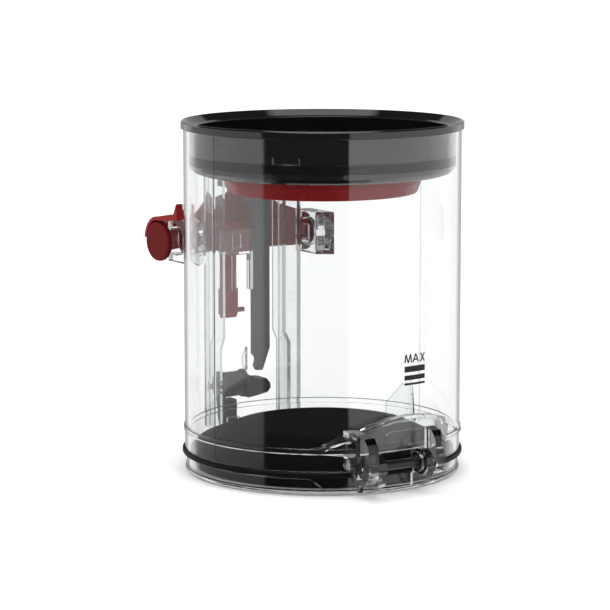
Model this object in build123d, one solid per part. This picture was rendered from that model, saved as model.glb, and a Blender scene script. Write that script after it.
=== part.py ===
from build123d import *
from math import atan2, cos, degrees, radians, sin, sqrt
import os

# Clear dust bin of a cyclonic vacuum cleaner, in millimetres.
# Origin: on the tube's axis, at the flat underside of the closed bottom door. +Z is up,
# +Y is the back, where the release lever runs, and -Y is the front, where the door hinges.

# ---- Driving dimensions ----
TUBE_R = 59.0
TUBE_WALL = 2.2
TUBE_BOTTOM = 9.8
BEAD = 0.45
BEAD_Z = (17.2, 19.6)
PARTING_TURN = 7.3
TOTAL_HEIGHT = 149.5
LIP_HEIGHT = 3.3
LIP_R = 60.0

DOOR_R = 58.7
DOOR_HEIGHT = 7.5
DOOR_PLATE = 2.2
SEAL_TOP = 9.5
PAD_RIM_R = 54.6
PAD_RIM_Z = 12.4
PAD_TOP_R = 35.0
PAD_TOP_Z = 19.7
PAD_WALL = 2.0

HINGE_Y = -65.0
HINGE_Z = 13.0
HINGE_PIN_R = 2.0
EAR_LEFT_R = 7.2
EAR_RIGHT_R = 6.2
EAR_LEFT = (-25.0, -20.0)
EAR_RIGHT = (9.0, 13.6)
KNUCKLE_R = 5.3
KNUCKLE_LEFT = (-19.6, -14.5)
KNUCKLE_RIGHT = (4.9, 8.6)
SPACER_X = (3.1, 4.6)
SPACER_R = 4.25

HOOD_LEFT_X = -43.0
HOOD_RIGHT_X = 46.5
HOOD_TOP = 32.2
HOOD_BOTTOM = 17.6
HOOD_FRONT_Y = -62.8
HOOD_WALL = 1.6
ARCH_RIDGE = 0.8
POCKET_X = (-9.9, 11.9)
POCKET_TOP = 26.3
POCKET_DEPTH = 0.6

CATCH_Y = 66.0
CATCH_Z = 27.0
CATCH_PIN_R = 1.2
CATCH_DRUM_X = (-12.7, -1.7)
CATCH_DRUM_R = 4.4
SPRING_WIRE = 1.1
SPRING_TURNS = 6

LEVER_Y = (63.0, 66.0)
BOW_CENTRE_Y = 76.5
BOW_TIP = (38.0, 69.7)
BOW_THICKNESS = 2.6
BOW_Z = (86.6, 105.0)
STEM_X = (-13.5, -5.0)
STEM_BOTTOM = 57.6
THUMB_PAD_R = 8.6
THUMB_PAD_THICKNESS = 2.6
THUMB_PAD_X = 39.7
THUMB_PAD_Y = 69.7
THUMB_PAD_Z = 93.0
THUMB_PAD_TURN = 5.0
GUARD_X = (37.5, 40.9)
GUARD_R = (9.4, 11.0)

ROD_X = (1.5, 10.5)
ROD_Y = (59.7, 62.5)
ROD_BOTTOM = 33.0
ROD_TOP = 127.0

RAIL_X = 23.0
RAIL_THICKNESS = 1.6
RAIL_BACK_Y = 66.0
RIB_X = 15.6
RIB_FLARE = 2.2
RIB_FLARE_Z = (45.0, 50.0)
BLOCK_X = (30.0, 37.0)
BLOCK_BACK_Y = 66.8
BLOCK_Z = (84.5, 103.5)

MARK_ANGLE = 6.6
MARK_WIDTH = 11.1

PIN_FIT = 0.05
RUNNING_FIT = 0.07
TUBE_BORE = TUBE_R - TUBE_WALL


# ---- Helpers ----
def slab_x(outline, x_low, x_high):
    """Prism along X from an outline of (y, z) points."""
    face = make_face(Plane.YZ.offset(x_low) * Polyline(*outline, close=True))
    return extrude(face, x_high - x_low, dir=(1, 0, 0))


def slab_y(outline, y_low, y_high):
    """Prism along Y from an outline of (x, z) points."""
    face = make_face(Plane.XZ.offset(-y_low) * Polyline(*outline, close=True))
    return extrude(face, y_high - y_low, dir=(0, 1, 0))


def slab_z(outline, z_low, z_high):
    """Prism along Z from an outline of (x, y) points."""
    face = make_face(Plane.XY.offset(z_low) * Polyline(*outline, close=True))
    return extrude(face, z_high - z_low, dir=(0, 0, 1))


def block(x, y, z):
    """Box from three (low, high) pairs."""
    middle = [(low + high) / 2 for low, high in (x, y, z)]
    return Pos(*middle) * Box(x[1] - x[0], y[1] - y[0], z[1] - z[0])


def rod_x(radius, x_low, x_high, y, z):
    """Cylinder along X."""
    return Pos((x_low + x_high) / 2, y, z) * Rot(0, 90, 0) * Cylinder(radius, x_high - x_low)


def column(radius, z_low, z_high):
    """Cylinder along the tube's axis."""
    return Pos(0, 0, (z_low + z_high) / 2) * Cylinder(radius, z_high - z_low)


def turned(outline):
    """Solid of revolution about Z from an outline of (radius, z) points."""
    return revolve(make_face(Plane.XZ * Polyline(*outline, close=True)), Axis.Z, 360)


def at_front(angle, radius):
    """Point at an angle from -Y towards +X, as (x, y)."""
    return radius * sin(radians(angle)), -radius * cos(radians(angle))


def outside_tube(shape):
    """What is left of a shape outside the tube's outer wall and its bead."""
    return shape - column(TUBE_R, -10, TOTAL_HEIGHT + 10) - column(TUBE_R + BEAD, *BEAD_Z)


# ---- The clear tube and what is moulded on it ----
def clear_tube():
    top = TOTAL_HEIGHT - LIP_HEIGHT - 0.1
    bead_low, bead_high = BEAD_Z
    tube = turned([
        (TUBE_BORE, TUBE_BOTTOM), (TUBE_R, TUBE_BOTTOM), (TUBE_R, bead_low),
        (TUBE_R + BEAD, bead_low + BEAD), (TUBE_R + BEAD, bead_high - BEAD), (TUBE_R, bead_high),
        (TUBE_R, top), (TUBE_BORE, top),
    ])
    ridge_width = 0.5
    ridge_height = 0.2
    parting_turn = Rot(0, 0, PARTING_TURN)
    for side in (-1, 1):
        edges = sorted((side * (TUBE_R - 0.5), side * (TUBE_R + ridge_height)))
        tube += parting_turn * block(edges, (-ridge_width / 2, ridge_width / 2), (TUBE_BOTTOM, top))
    return tube


def hinge_hood():
    """Arched cover over the door's hinge, hollow, with a shallow pocket in its front wall."""
    shell = hood_mass(0.0) - hood_mass(HOOD_WALL)
    pocket = block(POCKET_X, (HOOD_FRONT_Y - 2, HOOD_FRONT_Y + POCKET_DEPTH), (HOOD_BOTTOM - 4, POCKET_TOP))
    shell -= fillet(pocket.edges().filter_by(Axis.Y), 2.0)
    shell -= rod_x(KNUCKLE_R + 0.6, EAR_LEFT[1], EAR_RIGHT[0], HINGE_Y, HINGE_Z)
    return outside_tube(shell + arch_ridge()) + outside_tube(hood_patch())


def arch(inset):
    """All the space under the hood's arched roof line, as a prism along Y."""
    points = [
        (HOOD_LEFT_X, HOOD_BOTTOM + 0.6), (-29.9, 22.4), (-19.1, 27.5), (-2.4, HOOD_TOP - 0.3),
        (11.3, HOOD_TOP - 0.7), (31.8, 25.4), (HOOD_RIGHT_X, HOOD_BOTTOM + 0.8),
    ]
    lowered = [(x, z - inset) for x, z in points]
    foot = HOOD_BOTTOM - inset
    below = Polyline(lowered[-1], (HOOD_RIGHT_X, foot - 1), (HOOD_LEFT_X, foot - 1), lowered[0])
    face = make_face(Plane.XZ.offset(90) * (Spline(*lowered) + below))
    above_foot = block((-80, 80), (-95, 0), (HOOD_BOTTOM if inset == 0 else HOOD_BOTTOM - 3, 60))
    return extrude(face, 80, dir=(0, 1, 0)) & above_foot


def hood_mass(inset):
    """The hood's outer block, or its hollow when inset by a wall."""
    left_y = -sqrt((TUBE_R - 0.5) ** 2 - HOOD_LEFT_X ** 2)
    right_y = -sqrt((TUBE_R - 0.5) ** 2 - HOOD_RIGHT_X ** 2)
    front = HOOD_FRONT_Y + inset
    front_left, front_right = EAR_LEFT[0] + inset * 0.7, EAR_RIGHT[1] + 1.6 - inset * 0.7
    left, right = HOOD_LEFT_X + inset, HOOD_RIGHT_X - 9 - inset
    plan = slab_z([
        (left, left_y), (front_left, front), (front_right, front), (right, right_y - 9), (right, right_y),
        (left, left_y + 6),
    ], HOOD_BOTTOM - 8, HOOD_TOP + 4)
    return plan & arch(inset)


def arch_ridge():
    """Thin ridge on the tube that follows the hood's arch down to the bead on each side."""
    strip = arch(0.0) - arch(2.6)
    return strip & (column(TUBE_R + ARCH_RIDGE, 0, TOTAL_HEIGHT) - column(TUBE_R - 1, -1, TOTAL_HEIGHT + 1))


def hood_patch():
    """Thin raised patch with a tapered post on its edge, on the tube above the hood."""
    left, corner, right = -7.3, 0.4, 4.7
    shoulder, top = 38.1, 45.2
    raised = 0.26
    foot = HOOD_TOP - 3
    outline = [(left, foot), (left, shoulder), (corner, top), (right, top), (right, foot)]
    flat = [(at_front(angle, TUBE_R)[0], z) for angle, z in outline]
    patch = slab_y(flat, -TUBE_R - 5, -TUBE_R + 10) & column(TUBE_R + raised, 0, TOTAL_HEIGHT)
    post_x, post_y = at_front(right, TUBE_R)
    post_top = 43.6
    post = slab_x([
        (post_y + 0.6, foot), (post_y + 0.6, top + 1.7), (post_y - 0.24, top + 1.7), (post_y - 0.24, post_top),
        (post_y - 0.7, post_top), (post_y - 2.2, foot),
    ], post_x - 0.6, post_x + 0.6)
    return patch + post


def hinge_ear(x_low, x_high, radius):
    """One of the two rounded cheeks that carry the hinge pin."""
    y, z = HINGE_Y, HINGE_Z
    cheek = slab_x([
        (y - radius, z), (y - radius + 0.6, z + 9.5), (y - radius + 3.5, z + 13.0), (y + 4, z + 14.2),
        (y + 22, z + 14.2), (y + 22, z - 1.5), (y, z - 1.5),
    ], x_low, x_high)
    cheek += rod_x(radius, x_low, x_high, y, z)
    cheek -= rod_x(HINGE_PIN_R + PIN_FIT, x_low - 1, x_high + 1, y, z)
    cheek = outside_tube(cheek) - column(LIP_R + 0.8, 0, TUBE_BOTTOM)
    return cheek - hood_mass(0.0) - outside_tube(arch_ridge())


def rail_wall(side):
    """Outer wall of the back channel."""
    half = RAIL_THICKNESS / 2
    wall = block((RAIL_X - half, RAIL_X + half), (45, RAIL_BACK_Y), (TUBE_BOTTOM, 143))
    foot = block((RAIL_X - half - 2.4, RAIL_X - half), (RAIL_BACK_Y - 1.4, RAIL_BACK_Y), (TUBE_BOTTOM, 143))
    wall = outside_tube(wall + foot)
    return wall if side > 0 else mirror(wall, Plane.YZ)


def guide_rib(side):
    """Inner rib that guides the lever and the rod, flared at its foot. The left one holds the catch pin."""
    thick = RAIL_THICKNESS
    low, high = RIB_FLARE_Z
    rib = slab_y([
        (RIB_X, 143), (RIB_X, high), (RIB_X + RIB_FLARE, low), (RIB_X + RIB_FLARE, TUBE_BOTTOM),
        (RIB_X + RIB_FLARE + thick, TUBE_BOTTOM), (RIB_X + RIB_FLARE + thick, low),
        (RIB_X + thick, high), (RIB_X + thick, 143),
    ], 50, RAIL_BACK_Y)
    if side > 0:
        return outside_tube(rib)
    rib += rod_x(3.0, RIB_X + RIB_FLARE, RIB_X + RIB_FLARE + thick, CATCH_Y, CATCH_Z)
    rib -= rod_x(CATCH_PIN_R + PIN_FIT, 0, 40, CATCH_Y, CATCH_Z)
    return mirror(outside_tube(rib), Plane.YZ)


def guide_bridge():
    """Clear guide between the tube and the lever's stem, with two thin legs and a lower finger."""
    front, back = 56.0, LEVER_Y[0] - 0.4
    x_low, x_high = STEM_X[0] - 1.0, ROD_X[0] - 0.5
    bridge = block((x_low, x_high), (front, back), (86, 97))
    for step in range(3):
        start = x_low + 1.4 + step * 4.9
        bridge -= block((start, start + 3.4), (front + 5.0, back + 1), (88.0 + step, 95.5 - step))
    bridge += block((x_high - 1.5, x_high), (front, back), (70, 86))
    bridge += block((x_low + 5, x_low + 6), (front, back - 1.2), (70, 86))
    return outside_tube(bridge)


def guide_finger():
    """Thin clear finger beside the rod's foot that keeps dust off the catch."""
    return outside_tube(slab_x([
        (57, 34), (57, 47), (60.2, 43), (62.6, 39), (62.6, 36), (60, 34),
    ], -3.4, -2.2))


def wing_block(side):
    """Clear block beside the lever's wing, with a round pocket and a small window through it."""
    x_in, x_out = BLOCK_X
    z_low, z_high = BLOCK_Z
    middle_y, middle_z = 60.0, (z_low + z_high) / 2
    body = slab_z([(x_in, 46), (x_out, 44), (x_out, BLOCK_BACK_Y), (x_in, BLOCK_BACK_Y)], z_low, z_high)
    body -= rod_x(6.4, x_in + 2.2, x_out + 1, middle_y, middle_z)
    body -= block((x_in - 1, x_out), (middle_y - 2.4, middle_y + 2.4), (middle_z - 3.2, middle_z + 3.2))
    for low, high in ((z_low + 1.4, middle_z - 1.4), (middle_z + 1.4, z_high - 1.4)):
        body -= block((x_in + 1.4, x_out - 1.4), (51.5, 52.6), (low, high))
    body = outside_tube(body)
    return body if side > 0 else mirror(body, Plane.YZ)


# ---- The black collar, its seal and the wiper ring ----
COLLAR_BORE = 54.5
COLLAR_BAND_R = 56.6
COLLAR_FLOOR = (127.2, 129.6)
LIP_START = 146.4
GROOVE_Z = (131.7, 135.6)
WIPER_TOP_R = 42.0
WIPER_BORE = 38.5
WIPER_BOTTOM = 119.2


def top_collar():
    lip_low = TOTAL_HEIGHT - LIP_HEIGHT
    low, floor = COLLAR_FLOOR
    groove_low, groove_high = GROOVE_Z
    return turned([
        (WIPER_BORE, low), (52.0, low), (54.2, low + 0.9), (55.8, low + 2.4), (COLLAR_BAND_R, groove_low),
        (COLLAR_BAND_R - 1.0, groove_low), (COLLAR_BAND_R - 1.0, groove_high), (COLLAR_BAND_R, groove_high),
        (COLLAR_BAND_R, lip_low), (LIP_R - 0.4, lip_low), (LIP_R, lip_low + 0.5), (LIP_R, TOTAL_HEIGHT - 0.9),
        (LIP_R - 0.3, TOTAL_HEIGHT - 0.2), (LIP_R - 0.9, TOTAL_HEIGHT), (LIP_R - 1.4, TOTAL_HEIGHT - 0.2),
        (COLLAR_BORE + 1.2, TOTAL_HEIGHT - 2.6), (COLLAR_BORE, LIP_START), (COLLAR_BORE, floor),
        (WIPER_BORE, floor),
    ])


def collar_seal():
    low, high = GROOVE_Z
    inner = COLLAR_BAND_R - 0.95
    return turned([
        (inner, low + 0.1), (56.45, low + 0.3), (56.7, low + 1.0), (56.35, low + 1.9), (56.7, high - 1.0),
        (56.45, high - 0.3), (inner, high - 0.1),
    ])


def wiper_ring():
    top = COLLAR_FLOOR[0]
    return turned([
        (WIPER_BORE, top), (WIPER_BORE, WIPER_BOTTOM + 0.5), (WIPER_BORE + 0.4, WIPER_BOTTOM),
        (39.6, WIPER_BOTTOM), (40.2, WIPER_BOTTOM + 0.5), (WIPER_TOP_R, top - 3.0), (WIPER_TOP_R, top),
    ])


# ---- The fill mark printed on the tube ----
def stroke(start, end, width):
    """Straight stroke of a letter, as a flat face between two (u, v) points."""
    run = sqrt((end[0] - start[0]) ** 2 + (end[1] - start[1]) ** 2)
    across = ((start[1] - end[1]) / run * width / 2, (end[0] - start[0]) / run * width / 2)
    return make_face(Polyline(
        (start[0] + across[0], start[1] + across[1]), (end[0] + across[0], end[1] + across[1]),
        (end[0] - across[0], end[1] - across[1]), (start[0] - across[0], start[1] - across[1]), close=True,
    ))


def fill_mark():
    """The generic word MAX over three bars."""
    low, high = 53.4, 57.0
    pen = 0.55
    faces = []
    for bottom, top in ((49.5, 52.0), (46.2, 48.2), (44.1, 45.0)):
        middle = (bottom + top) / 2
        faces.append(stroke((-MARK_WIDTH / 2, middle), (MARK_WIDTH / 2, middle), top - bottom))
    letter_m = [(-5.4, low), (-4.9, high), (-3.7, low), (-2.5, high), (-2.0, low)]
    letter_a = [(-1.2, low), (0.3, high), (1.8, low)]
    for points in (letter_m, letter_a):
        faces += [stroke(start, end, pen) for start, end in zip(points, points[1:])]
    faces.append(stroke((-0.7, low + 1.2), (1.3, low + 1.2), pen))
    faces.append(stroke((3.0, low), (5.3, high), pen))
    faces.append(stroke((5.3, low), (3.0, high), pen))
    ink_in, ink_out = 0.3, 0.45
    film = column(TUBE_R + ink_out, 40, 60) - column(TUBE_R + ink_in, 40, 60)
    tangent = Plane(origin=(*at_front(MARK_ANGLE, TUBE_R + 3), 0), x_dir=(*at_front(MARK_ANGLE + 90, 1), 0),
                    z_dir=(*at_front(MARK_ANGLE, 1), 0))
    mark = None
    for face in faces:
        piece = extrude(tangent * face, -6) & film
        mark = piece if mark is None else mark + piece
    return mark


# ---- The hinge ----
def hinge_pin():
    return rod_x(HINGE_PIN_R, EAR_LEFT[0] - 0.4, EAR_RIGHT[1] + 0.4, HINGE_Y, HINGE_Z)


def hinge_spacer():
    ring = rod_x(SPACER_R, *SPACER_X, HINGE_Y, HINGE_Z)
    ring -= rod_x(3.0, SPACER_X[0] - 1, SPACER_X[0] + 0.9, HINGE_Y, HINGE_Z)
    return ring - rod_x(HINGE_PIN_R + PIN_FIT, -40, 40, HINGE_Y, HINGE_Z)


# ---- The bottom door ----
def door_panel():
    skirt = 2.4
    panel = turned([
        (0, 0), (DOOR_R - 0.8, 0), (DOOR_R, 0.8), (DOOR_R, 2.0), (DOOR_R - 0.5, 2.3),
        (DOOR_R - 0.5, DOOR_HEIGHT), (DOOR_R - skirt, DOOR_HEIGHT), (DOOR_R - skirt, DOOR_PLATE),
        (0, DOOR_PLATE),
    ])
    return panel


def floor_pad():
    slope = atan2(PAD_TOP_Z - PAD_RIM_Z, PAD_RIM_R - PAD_TOP_R)
    shift = PAD_WALL * (1 - cos(slope)) / sin(slope)
    inner_top = PAD_TOP_Z - PAD_WALL
    inner_rim = PAD_RIM_R - PAD_WALL
    return turned([
        (0, PAD_TOP_Z), (PAD_TOP_R - 3, PAD_TOP_Z), (PAD_TOP_R + 3, PAD_TOP_Z - 0.9),
        (PAD_RIM_R - 1, PAD_RIM_Z + 0.3),
        (PAD_RIM_R, PAD_RIM_Z - 0.6), (PAD_RIM_R, DOOR_PLATE + 0.05), (inner_rim, DOOR_PLATE + 0.05),
        (inner_rim, PAD_RIM_Z - PAD_WALL), (PAD_TOP_R - shift, inner_top), (0, inner_top),
    ])


def door_seal():
    return turned([
        (PAD_RIM_R + 0.05, DOOR_HEIGHT), (LIP_R - 0.6, DOOR_HEIGHT), (LIP_R, DOOR_HEIGHT + 0.6),
        (LIP_R, SEAL_TOP - 0.6), (LIP_R - 0.6, SEAL_TOP), (PAD_RIM_R + 0.05, SEAL_TOP),
    ])


def door_knuckle(x_low, x_high):
    """Black round bush of the door on the hinge pin."""
    knuckle = rod_x(KNUCKLE_R, x_low, x_high, HINGE_Y, HINGE_Z)
    knuckle = fillet(knuckle.edges(), 0.3)
    return knuckle - rod_x(HINGE_PIN_R + RUNNING_FIT, x_low - 1, x_high + 1, HINGE_Y, HINGE_Z)


def door_arm(x_low, x_high):
    """Clear arm from the door's edge that cradles a black bush."""
    y, z = HINGE_Y, HINGE_Z
    arm = slab_x([
        (y - KNUCKLE_R - 0.5, z - 1.0), (y - KNUCKLE_R - 0.5, z - 3), (y - 4, 6.0), (y + 1, 2.5), (y + 10, 0.8),
        (y + 10, DOOR_HEIGHT - 0.2), (y + KNUCKLE_R - 0.1, DOOR_HEIGHT - 0.2), (y + KNUCKLE_R - 0.1, z - 1),
        (y, z - 1),
    ], x_low + 0.3, x_high - 0.3)
    arm -= rod_x(KNUCKLE_R, x_low - 1, x_high + 1, y, z)
    return arm - column(DOOR_R, -1, DOOR_HEIGHT) - column(LIP_R, DOOR_HEIGHT, SEAL_TOP)


def latch_lug():
    """Upright strike at the door's back edge, which the catch's toe rests against."""
    lug = block((-12.4, -5.6), (55, 62.2), (1.2, 7.0))
    lug += block((-12.4, -5.6), (60.4, 62.2), (1.2, 13.0))
    return lug - column(DOOR_R, -1, DOOR_HEIGHT) - column(LIP_R + 0.05, DOOR_HEIGHT, SEAL_TOP)


# ---- The release lever ----
def bow(radius_shift, z_low, z_high, tip_x):
    """Part of a disc whose edge is the lever's bow in plan."""
    half, tip_y = BOW_TIP
    rise = BOW_CENTRE_Y - tip_y
    radius = (half ** 2 + rise ** 2) / (2 * rise)
    centre = Pos(0, BOW_CENTRE_Y - radius, (z_low + z_high) / 2)
    disc = centre * Cylinder(radius - radius_shift, z_high - z_low)
    return disc & block((-tip_x, tip_x), (55, 90), (z_low, z_high))


def release_lever():
    half = BOW_TIP[0]
    low, high = BOW_Z
    crest = 115.0
    bar = bow(0, low, crest, half) - bow(BOW_THICKNESS, low - 1, crest + 1, half + 1)
    side_view = slab_y([
        (-half, low + 1), (-30, low), (30, low), (half, low + 1), (half, high - 4), (30, high - 1),
        (24, high + 1), (20, 108.5), (16, 113.5), (13, 109.5), (5, 111.5), (0, crest), (-5, 111.5),
        (-13, 109.5), (-16, 113.5),
        (-20, 108.5), (-24, high + 1), (-30, high - 1), (-half, high - 4),
    ], 50, 90)
    lever = bar & side_view
    y_front, y_back = LEVER_Y
    lever += block((STEM_X[0], ROD_X[1] - 0.5), LEVER_Y, (low + 0.3, 100))
    for x in (STEM_X[0], ROD_X[1] - 2.5):
        lever += block((x, x + 2.0), (y_front, BOW_CENTRE_Y - BOW_THICKNESS + 0.6), (low + 2, 99))
    stem_mid = (STEM_X[0] + 0.8, STEM_X[1] - 0.8)
    lever += block(stem_mid, LEVER_Y, (STEM_BOTTOM, low + 1))
    foot = slab_y([
        (STEM_X[0], 70.6), (STEM_X[0], 59.4), (STEM_X[0] + 1.6, STEM_BOTTOM),
        (STEM_X[1] - 0.4, STEM_BOTTOM + 0.8), (STEM_X[1], 60.0), (STEM_X[1], 70.6),
    ], y_front, y_back)
    lever += foot
    lever -= block((-9.9, -8.3), (y_front - 1, y_back + 1), (62.5, 80))
    lever += block((STEM_X[1] - 0.5, -0.9), (y_front + 0.8, y_back - 0.7), (59.6, 61.6))
    lever += thumb_guard()
    return lever - thumb_space(-1) - thumb_space(1)


def thumb_guard():
    """Curved red flange behind and over the left thumb pad, ending in a pointed fin beside the tube."""
    inner, outer = GUARD_R
    y, z = THUMB_PAD_Y, THUMB_PAD_Z
    low, high = -GUARD_X[1], -GUARD_X[0]
    upper_back = block((low - 1, high + 1), (y, y + 20), (z + 1, z + 20))
    ring = (rod_x(outer, low, high, y, z) - rod_x(inner, low - 1, high + 1, y, z)) & upper_back
    strip = slab_x([
        (y, z + inner), (y, z + outer), (y - 9, z + outer + 1.6), (y - 14.2, z + outer + 2.4),
        (y - 16.6, z + 18.0), (y - 17.2, z + inner + 1.6), (y - 9, z + inner + 0.4),
    ], low, high)
    plate = (high - 0.9, high)
    web = rod_x(outer - 0.2, *plate, y, z) & block(plate, (y - 1, y + outer), (z - 1, z + outer))
    return ring + strip + web


def thumb_disc(side, radius, thickness):
    """Disc on a thumb pad's place, facing out to the side and a little forward."""
    turn = THUMB_PAD_TURN * (-side)
    place = Pos(side * THUMB_PAD_X, THUMB_PAD_Y, THUMB_PAD_Z)
    return place * Rot(0, 0, turn) * Rot(0, 90, 0) * Cylinder(radius, thickness)


def thumb_space(side):
    """Room for a thumb pad, open to the outside of the lever."""
    disc = thumb_disc(side, THUMB_PAD_R + 0.02, THUMB_PAD_THICKNESS + 0.02)
    shift = THUMB_PAD_THICKNESS * side
    return disc + Pos(shift, 0, 0) * disc


def thumb_pad(side):
    disc = thumb_disc(side, THUMB_PAD_R, THUMB_PAD_THICKNESS)
    return fillet(disc.edges(), 0.8)


# ---- The push rod ----
def push_rod():
    x_low, x_high = ROD_X
    rod = slab_y([
        (x_low, 45.0), (x_low, 40.5), (3.2, 39.0), (3.2, 36.6), (2.4, 35.4), (3.6, ROD_BOTTOM),
        (6.6, ROD_BOTTOM),
        (x_high, 43.0), (x_high, ROD_TOP), (-13.5, ROD_TOP), (-14.0, 121.0), (-9.0, 117.5), (-3.6, 112.5),
        (0.0, 107.5), (x_low, 101.5),
    ], *ROD_Y)
    rod += block((-9.0, 8.0), (ROD_Y[1] - 1.0, LEVER_Y[1] + 9.0), (115.4, 118.0))
    rod += block((x_low + 0.8, x_high - 0.8), (ROD_Y[1] - 1.0, LEVER_Y[1]), (82.4, BOW_Z[0] - 0.1))
    return rod


# ---- The catch ----
def catch_lever():
    x_low, x_high = CATCH_DRUM_X
    y, z = CATCH_Y, CATCH_Z
    body = rod_x(CATCH_DRUM_R, x_low - 0.6, x_high + 0.6, y, z)
    body += rod_x(6.3, x_low - 0.8, x_low, y, z)
    body += rod_x(6.3, x_high, x_high + 1.4, y, z)
    body += slab_y([
        (x_high + 0.6, 32.2), (x_high + 0.6, 21.0), (4.0, 21.6), (9.6, 22.6), (11.2, 24.4), (11.0, 26.6),
        (9.0, 28.9), (3.0, 29.3), (1.2, 30.6),
    ], y - 5.8, y + 3.2)
    body -= slab_y([(1.2, 29.3), (1.2, 33), (-2.4, 33), (-2.4, 31.4)], y - 7, y - 3.5)
    leg_y = 62.7
    leg_top = z - 6.6
    toe = [(leg_y, 12.0), (leg_y, 9.0), (leg_y + 2.2, 8.2), (leg_y + 3.6, 9.6), (y + 1.8, 14.0)]
    body += slab_x([(leg_y + 0.1, leg_top), *toe, (y + 3.2, leg_top)], x_low - 0.8, -6.0)
    link = [(y - 4.5, z), (leg_y + 0.1, leg_top - 1), (y + 3.2, leg_top - 1), (y + 5.0, z)]
    body += slab_x(link, x_low - 0.8, x_low)
    return body - rod_x(CATCH_PIN_R + RUNNING_FIT, -40, 40, y, z)


def catch_pin():
    """Pin from the left rib's boss through the catch's drum."""
    reach = RIB_X + RIB_FLARE + RAIL_THICKNESS
    return rod_x(CATCH_PIN_R, -reach, CATCH_DRUM_X[1] + 5.0, CATCH_Y, CATCH_Z)


def catch_spring():
    """Torsion spring wound on the catch's drum."""
    x_low, x_high = CATCH_DRUM_X
    radius = CATCH_DRUM_R + SPRING_WIRE / 2 + 0.15
    length = x_high - x_low - SPRING_WIRE - 0.4
    start = (x_low + SPRING_WIRE / 2 + 0.2, CATCH_Y, CATCH_Z)
    path = Helix(pitch=length / SPRING_TURNS, height=length, radius=radius, center=start, direction=(1, 0, 0))
    section = Plane(origin=path @ 0, z_dir=path % 0) * Circle(SPRING_WIRE / 2)
    return sweep(section, path=path, is_frenet=True)


PARTS = {
    "clear_tube": clear_tube(),
    "hinge_hood": hinge_hood(),
    "hinge_ear_left": hinge_ear(*EAR_LEFT, EAR_LEFT_R),
    "hinge_ear_right": hinge_ear(*EAR_RIGHT, EAR_RIGHT_R),
    "rail_wall_left": rail_wall(-1),
    "rail_wall_right": rail_wall(1),
    "guide_rib_left": guide_rib(-1),
    "guide_rib_right": guide_rib(1),
    "guide_bridge": guide_bridge(),
    "guide_finger": guide_finger(),
    "wing_block_left": wing_block(-1),
    "wing_block_right": wing_block(1),
    "top_collar": top_collar(),
    "collar_seal": collar_seal(),
    "wiper_ring": wiper_ring(),
    "fill_mark": fill_mark(),
    "hinge_pin": hinge_pin(),
    "hinge_spacer": hinge_spacer(),
    "catch_pin": catch_pin(),
    "release_lever": release_lever(),
    "thumb_pad_left": thumb_pad(-1),
    "thumb_pad_right": thumb_pad(1),
    "push_rod": push_rod(),
    "catch_lever": catch_lever(),
    "catch_spring": catch_spring(),
    "door_panel": door_panel(),
    "floor_pad": floor_pad(),
    "door_seal": door_seal(),
    "door_knuckle_left": door_knuckle(*KNUCKLE_LEFT),
    "door_knuckle_right": door_knuckle(*KNUCKLE_RIGHT),
    "door_arm_left": door_arm(*KNUCKLE_LEFT),
    "door_arm_right": door_arm(*KNUCKLE_RIGHT),
    "latch_lug": latch_lug(),
}

os.makedirs("parts", exist_ok=True)
for name, shape in PARTS.items():
    export_step(shape, f"parts/{name}.step")
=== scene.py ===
# %% [markdown]
# # Clear dust bin of a cyclonic vacuum cleaner
# The CAD part is loaded first and never moved. It gives every place and size, so this file only
# adds what the eye needs: smooth round mouldings, eased edges, materials, light and a camera.

# %% Load the frame
from math import cos, degrees, pi, radians, sin
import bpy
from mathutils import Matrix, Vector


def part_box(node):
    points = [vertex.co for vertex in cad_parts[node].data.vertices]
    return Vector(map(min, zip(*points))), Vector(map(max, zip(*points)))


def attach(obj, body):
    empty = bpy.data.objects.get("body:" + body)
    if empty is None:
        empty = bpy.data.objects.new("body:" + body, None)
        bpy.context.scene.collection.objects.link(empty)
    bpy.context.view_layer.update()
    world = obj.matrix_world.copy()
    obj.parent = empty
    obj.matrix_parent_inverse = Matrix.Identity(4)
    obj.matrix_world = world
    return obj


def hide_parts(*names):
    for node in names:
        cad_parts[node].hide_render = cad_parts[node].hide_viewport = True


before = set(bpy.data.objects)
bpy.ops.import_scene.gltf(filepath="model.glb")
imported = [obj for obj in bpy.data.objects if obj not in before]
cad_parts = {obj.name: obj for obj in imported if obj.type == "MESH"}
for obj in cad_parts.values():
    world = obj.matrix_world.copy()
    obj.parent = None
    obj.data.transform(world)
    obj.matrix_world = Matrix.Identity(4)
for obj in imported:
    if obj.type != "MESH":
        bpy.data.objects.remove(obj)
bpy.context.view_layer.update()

import bmesh
import bpy
from mathutils import Vector

# %% [markdown]
# Colours are picked as sRGB hex values, the way a paint chip is read off a screen. Shaders work in
# linear light, so one function turns each hex value to linear. Everything is thought of in
# millimetres, and Blender works in metres.

# %% Units and colours
MM = 0.001


def linear(hex_code):
    """Linear RGBA from an sRGB hex code such as 7A2427."""
    channels = [int(hex_code[i:i + 2], 16) / 255 for i in (0, 2, 4)]
    return tuple(c / 12.92 if c <= 0.04045 else ((c + 0.055) / 1.055) ** 2.4 for c in channels) + (1.0,)


def repeats(size_mm):
    """Texture scale at which one repeat of a pattern is this many millimetres long."""
    return 1 / (size_mm * MM)


# %% [markdown]
# A material is a small graph of nodes. One helper adds a node: it sets the node's own settings,
# and for each input it either makes a link or types in the value.

# %% Add one node
DRIFT_MM = 14.0


def add(tree, kind, inputs=None, **settings):
    """New node of a kind. An input given as a socket is linked, and any other is set."""
    made = tree.nodes.new(kind)
    for name, value in settings.items():
        setattr(made, name, value)
    for name, value in (inputs or {}).items():
        if isinstance(value, bpy.types.NodeSocket):
            tree.links.new(value, made.inputs[name])
        else:
            made.inputs[name].default_value = value
    return made


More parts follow.
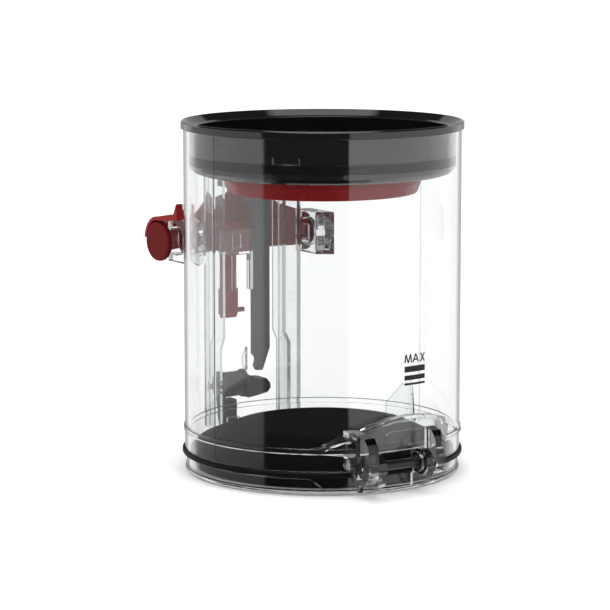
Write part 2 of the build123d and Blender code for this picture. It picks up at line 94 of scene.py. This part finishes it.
def start_material(name):
    """Empty material, its node tree, and its object coordinates in metres."""
    material = bpy.data.materials.new(name)
    material.use_nodes = True
    material.node_tree.nodes.clear()
    return material, material.node_tree, add(material.node_tree, "ShaderNodeTexCoord").outputs["Object"]


def moulded(name, hex_code, ior, rough, grain_mm, grain_depth_mm, shade=0.12, stretch=(1, 1, 1),
            **extra):
    """Moulded finish: a fine grain for the bump and the roughness, and a slow drift of colour."""
    material, tree, place = start_material(name)
    place = add(tree, "ShaderNodeMapping", {"Vector": place, "Scale": stretch}).outputs["Vector"]
    grain = add(tree, "ShaderNodeTexNoise", {
        "Vector": place, "Scale": repeats(grain_mm), "Detail": 4.0,
    })
    drift = add(tree, "ShaderNodeTexNoise", {
        "Vector": place, "Scale": repeats(DRIFT_MM), "Detail": 3.0,
    })
    dark = tuple(c * (1 - shade) for c in linear(hex_code)[:3]) + (1.0,)
    light = tuple(min(1.0, c * (1 + shade)) for c in linear(hex_code)[:3]) + (1.0,)
    colour = add(tree, "ShaderNodeMixRGB", {
        "Fac": drift.outputs["Fac"], "Color1": dark, "Color2": light,
    })
    roughness = add(tree, "ShaderNodeMapRange", {
        "Value": grain.outputs["Fac"], "From Min": 0.3, "From Max": 0.7,
        "To Min": rough[0], "To Max": rough[1],
    })
    bump = add(tree, "ShaderNodeBump", {
        "Height": grain.outputs["Fac"], "Strength": 1.0, "Distance": grain_depth_mm * MM,
    })
    shader = add(tree, "ShaderNodeBsdfPrincipled", {
        "Base Color": colour.outputs["Color"], "Roughness": roughness.outputs["Result"],
        "IOR": ior, "Normal": bump.outputs["Normal"], **extra,
    })
    add(tree, "ShaderNodeOutputMaterial", {"Surface": shader.outputs["BSDF"]})
    return material


# %% [markdown]
# The bin is polycarbonate: a clear, strong plastic that bends light more than window glass, with
# an IOR near 1.58. It is moulded against polished steel, so it is glossy, and what gives it away
# as plastic is a slow ripple left by the flow in the mould.

# %% Clear polycarbonate
def clear_plastic(name, hex_code, ripple_mm, ripple_depth_mm, haze):
    """Clear plastic with a slow flow ripple and a trace of surface haze."""
    material, tree, place = start_material(name)
    ripple = add(tree, "ShaderNodeTexNoise", {
        "Vector": place, "Scale": repeats(ripple_mm), "Detail": 1.0,
    })
    scuff = add(tree, "ShaderNodeTexNoise", {"Vector": place, "Scale": repeats(3.0), "Detail": 5.0})
    roughness = add(tree, "ShaderNodeMapRange", {
        "Value": scuff.outputs["Fac"], "From Min": 0.45, "From Max": 0.75,
        "To Min": 0.0, "To Max": haze,
    })
    bump = add(tree, "ShaderNodeBump", {
        "Height": ripple.outputs["Fac"], "Strength": 1.0, "Distance": ripple_depth_mm * MM,
    })
    shader = add(tree, "ShaderNodeBsdfPrincipled", {
        "Base Color": linear(hex_code), "Roughness": roughness.outputs["Result"], "IOR": 1.58,
        "Transmission Weight": 1.0, "Normal": bump.outputs["Normal"],
    })
    add(tree, "ShaderNodeOutputMaterial", {"Surface": shader.outputs["BSDF"]})
    return material


CLEAR_WALL = clear_plastic("clear_polycarbonate_wall", "FBFCFC", 18.0, 0.01, 0.005)
CLEAR_DETAIL = clear_plastic("clear_polycarbonate_detail", "F4F5F6", 5.0, 0.01, 0.01)

# %% [markdown]
# The collar and the door's round bushes are glossy black ABS, and the floor plate is a dull black.
# The wiper ring and the lever are red ABS. The lever's body is painted a brighter red than its thumb
# pads, though both are one plastic on the real object: the brighter red is painted light, making up
# for the light the body loses where it is seen through several clear walls, which pale it. The rod
# and the catch are acetal, a slippery grey plastic used for sliding parts, with a satin face. Seals
# are rubber. The pins are blackened steel and the spring is drawn wire.

# %% Opaque finishes
HIGH_SHEEN = {"Specular IOR Level": 0.9}
LOW_SHEEN = {"Specular IOR Level": 0.2}
FAINT_SHEEN = {"Specular IOR Level": 0.1}
NO_SHEEN = {"Specular IOR Level": 0.05}
ALONG_X = (0.08, 1, 1)
BLACK_ABS = moulded("black_abs_gloss", "0E0E0F", 1.53, (0.03, 0.06), 0.6, 0.0, **HIGH_SHEEN)
BLACK_FLOOR = moulded("black_elastomer_floor", "050506", 1.4, (0.7, 0.85), 0.8, 0.002, **NO_SHEEN)
RED_ABS = moulded("red_abs_satin", "760508", 1.53, (0.22, 0.3), 0.6, 0.001, **LOW_SHEEN)
# Painted light: the lever body's red is brighter than the pads' red of the same plastic.
LEVER_RED_PAINTED_BRIGHTER = moulded("red_abs_lever_painted_brighter", "84090E", 1.53, (0.34, 0.46), 0.7, 0.004, **LOW_SHEEN)
PAD_RED = moulded("red_abs_thumb_pad", "621014", 1.53, (0.4, 0.5), 0.7, 0.004, **FAINT_SHEEN)
GREY_ACETAL = moulded("grey_acetal_satin", "3E3D42", 1.48, (0.4, 0.55), 0.5, 0.003, **LOW_SHEEN)
RUBBER = moulded("black_rubber_moulded", "050506", 1.5, (0.5, 0.65), 0.35, 0.004, **LOW_SHEEN)
STEEL = moulded("spring_steel_drawn", "6C6D70", 1.5, (0.25, 0.4), 0.25, 0.004, stretch=ALONG_X,
                Metallic=1.0)
BLACKENED = moulded("blackened_steel_ground", "161617", 1.5, (0.15, 0.25), 0.25, 0.001,
                    stretch=ALONG_X)
INK = moulded("pad_print_ink", "0B0B0B", 1.5, (0.4, 0.6), 0.3, 0.003)
print("materials:", len(bpy.data.materials))

# %% [markdown]
# Round mouldings are turned: a closed outline of radius and height is swept about the axis. The
# CAD mesh of a cylinder has flats, which show as stripes in clear plastic, so each round piece is
# turned again here in fine steps, with its corners rounded as a mould rounds them.

# %% Turn and finish a mesh
TURN_STEPS = 288
CORNER_STEPS = 4


def eased(outline, radius):
    """Closed outline with each corner replaced by a small curve."""
    soft = []
    for before, corner, after in zip(outline[-1:] + outline[:-1], outline, outline[1:] + outline[:1]):
        corner = Vector(corner)
        back, ahead = Vector(before) - corner, Vector(after) - corner
        if corner.x <= 1e-6:
            soft.append(corner)
            continue
        reach = min(radius, 0.45 * back.length, 0.45 * ahead.length)
        start, end = corner + back.normalized() * reach, corner + ahead.normalized() * reach
        for step in range(CORNER_STEPS + 1):
            t = step / CORNER_STEPS
            soft.append(start * (1 - t) ** 2 + corner * 2 * t * (1 - t) + end * t ** 2)
    return soft


def finish_mesh(name, bm, material, body, nodes, sharp=35.0):
    """Object from a bmesh, smooth except at sharp edges, riding on a body in place of CAD nodes."""
    bmesh.ops.remove_doubles(bm, verts=bm.verts, dist=1e-7)
    bmesh.ops.recalc_face_normals(bm, faces=bm.faces)
    mesh = bpy.data.meshes.new(name)
    bm.to_mesh(mesh)
    bm.free()
    for face in mesh.polygons:
        face.use_smooth = True
    mesh.set_sharp_from_angle(angle=radians(sharp))
    mesh.materials.append(material)
    piece = bpy.data.objects.new(name, mesh)
    bpy.context.scene.collection.objects.link(piece)
    even = piece.modifiers.new("even_shading", "WEIGHTED_NORMAL")
    even.keep_sharp = True
    even.weight = 90
    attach(piece, body)
    if nodes:
        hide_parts(*nodes)
    return piece


def round_point(r, angle, z):
    """Place in metres at a radius, an angle in radians from the front, and a height in mm."""
    return (r * MM * sin(angle), -r * MM * cos(angle), z * MM)


def ring_mesh(section_at, steps=TURN_STEPS):
    """Closed ring lofted through the (radius, z) sections that a function gives for each angle."""
    bm = bmesh.new()
    rings = []
    for step in range(steps):
        angle = 2 * pi * step / steps
        section = section_at(degrees(angle))
        rings.append([bm.verts.new(round_point(r, angle, z)) for r, z in section])
    for here, after in zip(rings, rings[1:] + rings[:1]):
        for i in range(len(here)):
            j = (i + 1) % len(here)
            bm.faces.new([here[i], here[j], after[j], after[i]])
    return bm


def turned(outline, corner=0.25):
    """Solid of revolution from an outline of (radius, z) in millimetres."""
    section = eased(outline, corner)
    return ring_mesh(lambda angle: section)


# %% [markdown]
# The tube is one clear wall. Its sizes are read from the CAD node's box, so the two can't drift
# apart. A thin bead runs round near its foot.

# %% The tube
tube_low, tube_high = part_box("clear_tube")
TUBE_R = 58.95
TUBE_BORE = 56.8
BEAD = (17.2, 19.6)
BEAD_PROUD = 0.45
tube_bottom, tube_top = tube_low.z / MM, tube_high.z / MM
finish_mesh("clear_tube_wall", turned([
    (TUBE_BORE, tube_bottom), (TUBE_R, tube_bottom), (TUBE_R, BEAD[0]),
    (TUBE_R + BEAD_PROUD, BEAD[0] + 0.3), (TUBE_R + BEAD_PROUD, BEAD[1] - 0.3), (TUBE_R, BEAD[1]),
    (TUBE_R, tube_top), (TUBE_BORE, tube_top),
], 0.25), CLEAR_WALL, "bin", ["clear_tube"])
print("tube from", round(tube_bottom, 1), "to", round(tube_top, 1), "mm")

# %% [markdown]
# The mould leaves fine raised lines on the tube: two parting lines, a snap window's outline on the
# collar's band and the step of the door's skirt. Each is a thin strip that follows a route of
# angle and height round the wall.

# %% Fine raised lines
ROOT_DEPTH = 0.02
CREST_WIDTH = 0.35


def raised_line(name, route, radius, width, proud, body):
    """Thin strip on a round wall along a route of (angle from the front, height) points."""
    points = []
    for (angle, z), (angle_next, z_next) in zip(route, route[1:]):
        steps = max(1, int(abs(angle_next - angle) / 1.25))
        for step in range(steps):
            t = step / steps
            points.append(Vector((angle + (angle_next - angle) * t, z + (z_next - z) * t)))
    points.append(Vector(route[-1]))
    per_degree = radius * pi / 180
    bm = bmesh.new()
    rings = []
    for i, point in enumerate(points):
        before, after = points[max(i - 1, 0)], points[min(i + 1, len(points) - 1)]
        run = Vector(((after.x - before.x) * per_degree, after.y - before.y)).normalized()
        side = Vector((-run.y / per_degree, run.x)) * width / 2
        ring = []
        root, crest = radius - ROOT_DEPTH, radius + proud
        for reach, r in ((1, root), (CREST_WIDTH, crest), (-CREST_WIDTH, crest), (-1, root)):
            offset = side * reach
            angle, z = radians(point.x + offset.x), point.y + offset.y
            ring.append(bm.verts.new(round_point(r, angle, z)))
        rings.append(ring)
    for here, ahead in zip(rings, rings[1:]):
        for j in range(4):
            k = (j + 1) % 4
            bm.faces.new([here[j], here[k], ahead[k], ahead[j]])
    bm.faces.new(rings[0][::-1])
    bm.faces.new(rings[-1])
    return finish_mesh(name, bm, CLEAR_DETAIL, body, [])


PARTING_ANGLE = -82.7
LINE_WIDTH, LINE_PROUD = 0.8, 0.3
for side, angle in (("left", PARTING_ANGLE), ("right", PARTING_ANGLE + 180)):
    route = [(angle, tube_bottom + 0.3), (angle, tube_top - 0.3)]
    raised_line("parting_line_" + side, route, TUBE_R, LINE_WIDTH, LINE_PROUD, "bin")
SNAP_ANGLE, SNAP_HALF = -48.0, 5.4
SNAP_LOW, SNAP_HIGH = 135.7, 138.5
raised_line("snap_window_outline", [
    (SNAP_ANGLE - SNAP_HALF, SNAP_HIGH), (SNAP_ANGLE - SNAP_HALF, SNAP_LOW),
    (SNAP_ANGLE + SNAP_HALF, SNAP_LOW), (SNAP_ANGLE + SNAP_HALF, SNAP_HIGH),
], TUBE_R, 0.45, 0.2, "bin")
SKIRT_R, STEP_HIGH, STEP_LOW = 58.2, 7.0, 3.0
raised_line("door_skirt_step", [
    (-125, STEP_HIGH), (-38.6, STEP_HIGH), (-33.5, STEP_LOW), (50, STEP_LOW),
], SKIRT_R, 0.6, 0.25, "door")

# %% [markdown]
# The collar, its seal and the wiper ring are turned in the same way. The collar drops into the
# tube and ends in a rounded lip that overhangs the wall.

# %% Collar, seal and wiper ring
collar_low, collar_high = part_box("top_collar")
TOP = collar_high.z / MM
LIP_R = collar_high.x / MM
BAND_R = 56.6
GROOVE_R = BAND_R - 1.0
LIP_HEIGHT = 3.3
BORE_R = 54.5
FLOOR = collar_low.z / MM
WIPER_BORE = 38.5
finish_mesh("black_collar", turned([
    (WIPER_BORE, FLOOR), (52.0, FLOOR), (54.2, FLOOR + 0.9), (55.8, FLOOR + 2.4),
    (BAND_R, FLOOR + 4.5), (GROOVE_R, FLOOR + 4.6), (GROOVE_R, FLOOR + 8.3), (BAND_R, FLOOR + 8.4),
    (BAND_R, TOP - LIP_HEIGHT), (LIP_R, TOP - LIP_HEIGHT), (LIP_R, TOP - 0.6), (59.35, TOP),
    (58.9, TOP), (BORE_R + 1.2, TOP - 2.6),
    (BORE_R, TOP - 3.1), (BORE_R, FLOOR + 2.4), (WIPER_BORE, FLOOR + 2.4),
], 0.2), BLACK_ABS, "bin", ["top_collar"])
seal_low, seal_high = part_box("collar_seal")
low, high = seal_low.z / MM, seal_high.z / MM
finish_mesh("collar_rubber_seal", turned([
    (BAND_R - 0.9, low), (56.5, low), (56.72, low + 0.8), (56.3, (low + high) / 2), (56.72, high - 0.8),
    (56.5, high), (BAND_R - 0.9, high),
], 0.4), RUBBER, "bin", ["collar_seal"])
wiper_low, wiper_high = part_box("wiper_ring")
low, high = wiper_low.z / MM, wiper_high.z / MM
finish_mesh("red_wiper_ring", turned([
    (WIPER_BORE, high), (WIPER_BORE, low), (40.2, low), (42.0, high - 3.0), (42.0, high),
], 0.7), RED_ABS, "bin", ["wiper_ring"])

# %% [markdown]
# The door is a shallow clear dish under a black dished plate, with a rubber ring between them and
# the tube.

# %% Door, floor plate and door seal
DOOR_R = 58.7
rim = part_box("door_panel")[1].z / MM
finish_mesh("clear_door", turned([
    (0, 0), (DOOR_R - 0.8, 0), (DOOR_R, 0.8), (DOOR_R, 2.0), (DOOR_R - 0.5, 2.3), (DOOR_R - 0.5, rim),
    (DOOR_R - 2.4, rim), (DOOR_R - 2.4, 2.2), (0, 2.2),
], 0.3), CLEAR_DETAIL, "door", ["door_panel"])
pad_low, pad_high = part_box("floor_pad")
pad_top, pad_foot = pad_high.z / MM, pad_low.z / MM
finish_mesh("black_floor_plate", turned([
    (0, pad_top), (32.0, pad_top), (38.0, pad_top - 0.9), (53.6, 12.7), (54.6, 11.8), (54.6, pad_foot),
    (52.6, pad_foot), (52.6, 10.4), (34.6, pad_top - 2.0), (0, pad_top - 2.0),
], 1.2), BLACK_FLOOR, "door", ["floor_pad"])
ring_low, ring_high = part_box("door_seal")
low, high = ring_low.z / MM, ring_high.z / MM
finish_mesh("door_rubber_seal", turned([
    (54.7, low), (60.0, low), (60.0, high), (54.7, high),
], 0.7), RUBBER, "door", ["door_seal"])

# %% [markdown]
# The other parts are right as CAD gives them, and a moulding differs only in its edges, which
# are never knife sharp. Each is copied, its flat faces are cleaned up, and its sharp edges get a
# small bevel, which is what catches the light.

# %% Ease the edges of the CAD parts
def ease_part(name, node, body, material, width_mm, sharp=38.0):
    """Copy of a CAD node with small bevels on its sharp edges, standing in for it."""
    bm = bmesh.new()
    bm.from_mesh(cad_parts[node].data)
    bmesh.ops.remove_doubles(bm, verts=bm.verts, dist=2e-6)
    bmesh.ops.dissolve_limit(bm, angle_limit=radians(1.0), verts=bm.verts, edges=bm.edges)
    edges = [e for e in bm.edges if len(e.link_faces) == 2 and e.calc_face_angle(0) > radians(sharp)]
    bmesh.ops.bevel(bm, geom=edges, offset=width_mm * MM, segments=2, profile=0.6, affect="EDGES",
                    clamp_overlap=True, offset_type="OFFSET")
    return finish_mesh(name, bm, material, body, [node])


CLEAR_PARTS = [
    "hinge_ear_left", "hinge_ear_right", "rail_wall_left", "rail_wall_right", "guide_rib_left",
    "guide_rib_right", "guide_bridge", "guide_finger", "wing_block_left", "wing_block_right",
    "hinge_spacer", "hinge_hood",
]
for node in CLEAR_PARTS:
    ease_part(node + "_moulding", node, "bin", CLEAR_DETAIL, 0.25)
# The lever body wears the brighter red, painted light for what it loses behind the clear walls.
ease_part("red_lever", "release_lever", "lever", LEVER_RED_PAINTED_BRIGHTER, 0.35)
ease_part("thumb_pad_face_left", "thumb_pad_left", "lever", PAD_RED, 0.1)
ease_part("thumb_pad_face_right", "thumb_pad_right", "lever", PAD_RED, 0.1)
ease_part("grey_rod", "push_rod", "rod", GREY_ACETAL, 0.35)
ease_part("grey_catch", "catch_lever", "catch", GREY_ACETAL, 0.25)
ease_part("black_knuckle_left", "door_knuckle_left", "door", BLACK_ABS, 0.3)
ease_part("black_knuckle_right", "door_knuckle_right", "door", BLACK_ABS, 0.3)
for node in ("door_arm_left", "door_arm_right", "latch_lug"):
    ease_part(node + "_moulding", node, "door", CLEAR_DETAIL, 0.3)

# %% Finishes of the CAD parts that stay
for node, material in {
    "fill_mark": INK, "hinge_pin": BLACKENED, "catch_pin": BLACKENED, "catch_spring": STEEL,
}.items():
    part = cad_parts[node]
    part.data.materials.clear()
    part.data.materials.append(material)

# %% [markdown]
# The bin stands on a plain white table. Glass-like things show what surrounds them, so the room
# matters more than lamps. It is split by kind of ray, which no real studio can do: a ray that has
# bounced off a gloss sees a tall soft panel on each side with a dark gap between, a ray that comes
# straight or through the plastic sees a plain bright backdrop, and diffuse light is even. The
# panels give the long straight veils on the tube. The table glows a little and is unseen in
# reflections, so the plastic doesn't mirror it.

# %% Table and room
CAMERA_AZIMUTH = -33.5
TABLE_DROP = 0.0002
TABLE_GLOW = 0.15
view_ahead = Vector((-sin(radians(CAMERA_AZIMUTH)), cos(radians(CAMERA_AZIMUTH)), 0))


def ray_kind(tree):
    """Light Path node, and a 0 or 1 that is 1 once a ray has bounced off a glossy face."""
    path = add(tree, "ShaderNodeLightPath")
    bounced = add(tree, "ShaderNodeMath", {
        0: path.outputs["Glossy Depth"], 1: 0.5,
    }, operation="GREATER_THAN")
    return path, bounced.outputs["Value"]


table_material, tree, place = start_material("white_table_paint")
mottle = add(tree, "ShaderNodeTexNoise", {"Vector": place, "Scale": repeats(40.0), "Detail": 2.0})
tone = add(tree, "ShaderNodeMapRange", {"Value": mottle.outputs["Fac"], "To Min": 0.94, "To Max": 0.96})
paint = add(tree, "ShaderNodeBsdfDiffuse", {"Color": tone.outputs["Result"]})
glow = add(tree, "ShaderNodeEmission", {"Color": (1, 1, 1, 1), "Strength": TABLE_GLOW})
white = add(tree, "ShaderNodeAddShader", {0: paint.outputs["BSDF"], 1: glow.outputs["Emission"]})
unseen = add(tree, "ShaderNodeBsdfTransparent")
path, mirrored = ray_kind(tree)
surface = add(tree, "ShaderNodeMixShader", {
    0: mirrored, 1: white.outputs["Shader"], 2: unseen.outputs["BSDF"],
})
add(tree, "ShaderNodeOutputMaterial", {"Surface": surface.outputs["Shader"]})
bpy.ops.mesh.primitive_plane_add(size=8, location=(0, 0, -TABLE_DROP))
table = bpy.context.object
table.name = "white_table"
table.data.materials.append(table_material)

BACKDROP = (1.42, 1.42, 1.42, 1)
DIFFUSE_LIGHT = (1.1, 1.1, 1.1, 1)
LEFT_PANEL, RIGHT_PANEL, GAP = 0.62, 0.82, 0.04
FAR_SIDE, RIM_SIDE = 1.1, 0.5
FOOT_LEFT, FOOT_RIGHT = LEFT_PANEL * 0.5, RIGHT_PANEL * 0.85
CEILING = (0.04, 0.04, 0.04, 1)
FAR_STRIP, NEAR_STRIP = (1.2, 1.2, 1.2, 1), (7.0, 7.0, 7.0, 1)
world = bpy.data.worlds.new("studio_room")
bpy.context.scene.world = world
world.use_nodes = True
tree = world.node_tree
tree.nodes.clear()
direction = add(tree, "ShaderNodeTexCoord").outputs["Generated"]
turned_room = add(tree, "ShaderNodeMapping", {
    "Vector": direction, "Rotation": (0, 0, radians(90 - CAMERA_AZIMUTH)),
}, vector_type="POINT")
sweep = add(tree, "ShaderNodeTexGradient", {
    "Vector": turned_room.outputs["Vector"],
}, gradient_type="RADIAL")


def panels(left, right):
    """Ring of light by angle: two soft panels, a dark gap between, and a far side with a rim."""
    ramp = add(tree, "ShaderNodeValToRGB", {"Fac": sweep.outputs["Fac"]})
    edges = [
        (-180, RIM_SIDE), (-158, RIM_SIDE), (-148, FAR_SIDE), (-136, FAR_SIDE), (-128, left),
        (-50, left), (-49, GAP), (21.5, GAP), (22.5, right), (128, right), (131, FAR_SIDE),
        (148, FAR_SIDE), (158, RIM_SIDE), (180, RIM_SIDE),
    ]
    elements = ramp.color_ramp.elements
    for turn, light in edges[1:-1]:
        elements.new((turn + 180) / 360)
    for stop, (turn, light) in zip(elements, edges):
        stop.position = (turn + 180) / 360
        stop.color = (light, light, light, 1)
    return ramp.outputs["Color"]


def by_height(low, high, below, above):
    """Mix of two colours by how steeply up a ray looks, from -1 straight down to 1 straight up."""
    step = add(tree, "ShaderNodeMapRange", {
        "Value": height.outputs["Z"], "From Min": low, "From Max": high,
    })
    return add(tree, "ShaderNodeMixRGB", {
        "Fac": step.outputs["Result"], "Color1": below, "Color2": above,
    }).outputs["Color"]


height = add(tree, "ShaderNodeSeparateXYZ", {"Vector": direction})
walls = by_height(-0.215, -0.18, panels(FOOT_LEFT, FOOT_RIGHT), panels(LEFT_PANEL, RIGHT_PANEL))
ceiling = by_height(0.45, 0.5, walls, CEILING)
toward = add(tree, "ShaderNodeVectorMath", {0: direction, 1: -view_ahead}, operation="DOT_PRODUCT")
near_side = add(tree, "ShaderNodeMapRange", {
    "Value": toward.outputs["Value"], "From Min": 0.02, "From Max": 0.06,
})
strip = add(tree, "ShaderNodeMixRGB", {
    "Fac": near_side.outputs["Result"], "Color1": FAR_STRIP, "Color2": NEAR_STRIP,
})
room_colour = by_height(0.9, 0.93, ceiling, strip.outputs["Color"])
path, mirrored = ray_kind(tree)
seen = add(tree, "ShaderNodeMixRGB", {"Fac": mirrored, "Color1": BACKDROP, "Color2": room_colour})
lit = add(tree, "ShaderNodeMixRGB", {
    "Fac": path.outputs["Is Diffuse Ray"], "Color1": seen.outputs["Color"], "Color2": DIFFUSE_LIGHT,
})
sky = add(tree, "ShaderNodeBackground", {"Color": lit.outputs["Color"], "Strength": 1.0})
add(tree, "ShaderNodeOutputWorld", {"Surface": sky.outputs["Background"]})

# %% [markdown]
# The camera looks a little down on the bin from its front left, from over a metre away, so the
# upright edges stay nearly parallel.

# %% Camera
CAMERA_DISTANCE = 1.1439
CAMERA_HEIGHT = 0.2434
CAMERA_PITCH = 8.608
CAMERA_YAW = -0.369
camera_data = bpy.data.cameras.new("view")
camera_data.lens = 159.85
camera_data.sensor_width = 36
camera_data.clip_end = 20
camera = bpy.data.objects.new("view", camera_data)
bpy.context.scene.collection.objects.link(camera)
camera.location = -view_ahead * CAMERA_DISTANCE + Vector((0, 0, CAMERA_HEIGHT))
camera.rotation_euler = (radians(90 - CAMERA_PITCH), 0, radians(CAMERA_AZIMUTH - CAMERA_YAW))
bpy.context.scene.camera = camera

# %% [markdown]
# Light crosses many walls of clear plastic before it reaches the camera, so the ray limits are
# raised. Cycles blurs gloss seen by diffuse light to save noise, and across many clear walls that
# loses light, so the filter is off. The plain view transform keeps white as white.

# %% Ray limits and view
scene = bpy.context.scene
scene.view_settings.view_transform = "Standard"
scene.cycles.max_bounces = 32
scene.cycles.transmission_bounces = 32
scene.cycles.glossy_bounces = 12
scene.cycles.diffuse_bounces = 4
scene.cycles.sample_clamp_indirect = 6.0
scene.cycles.blur_glossy = 0.0
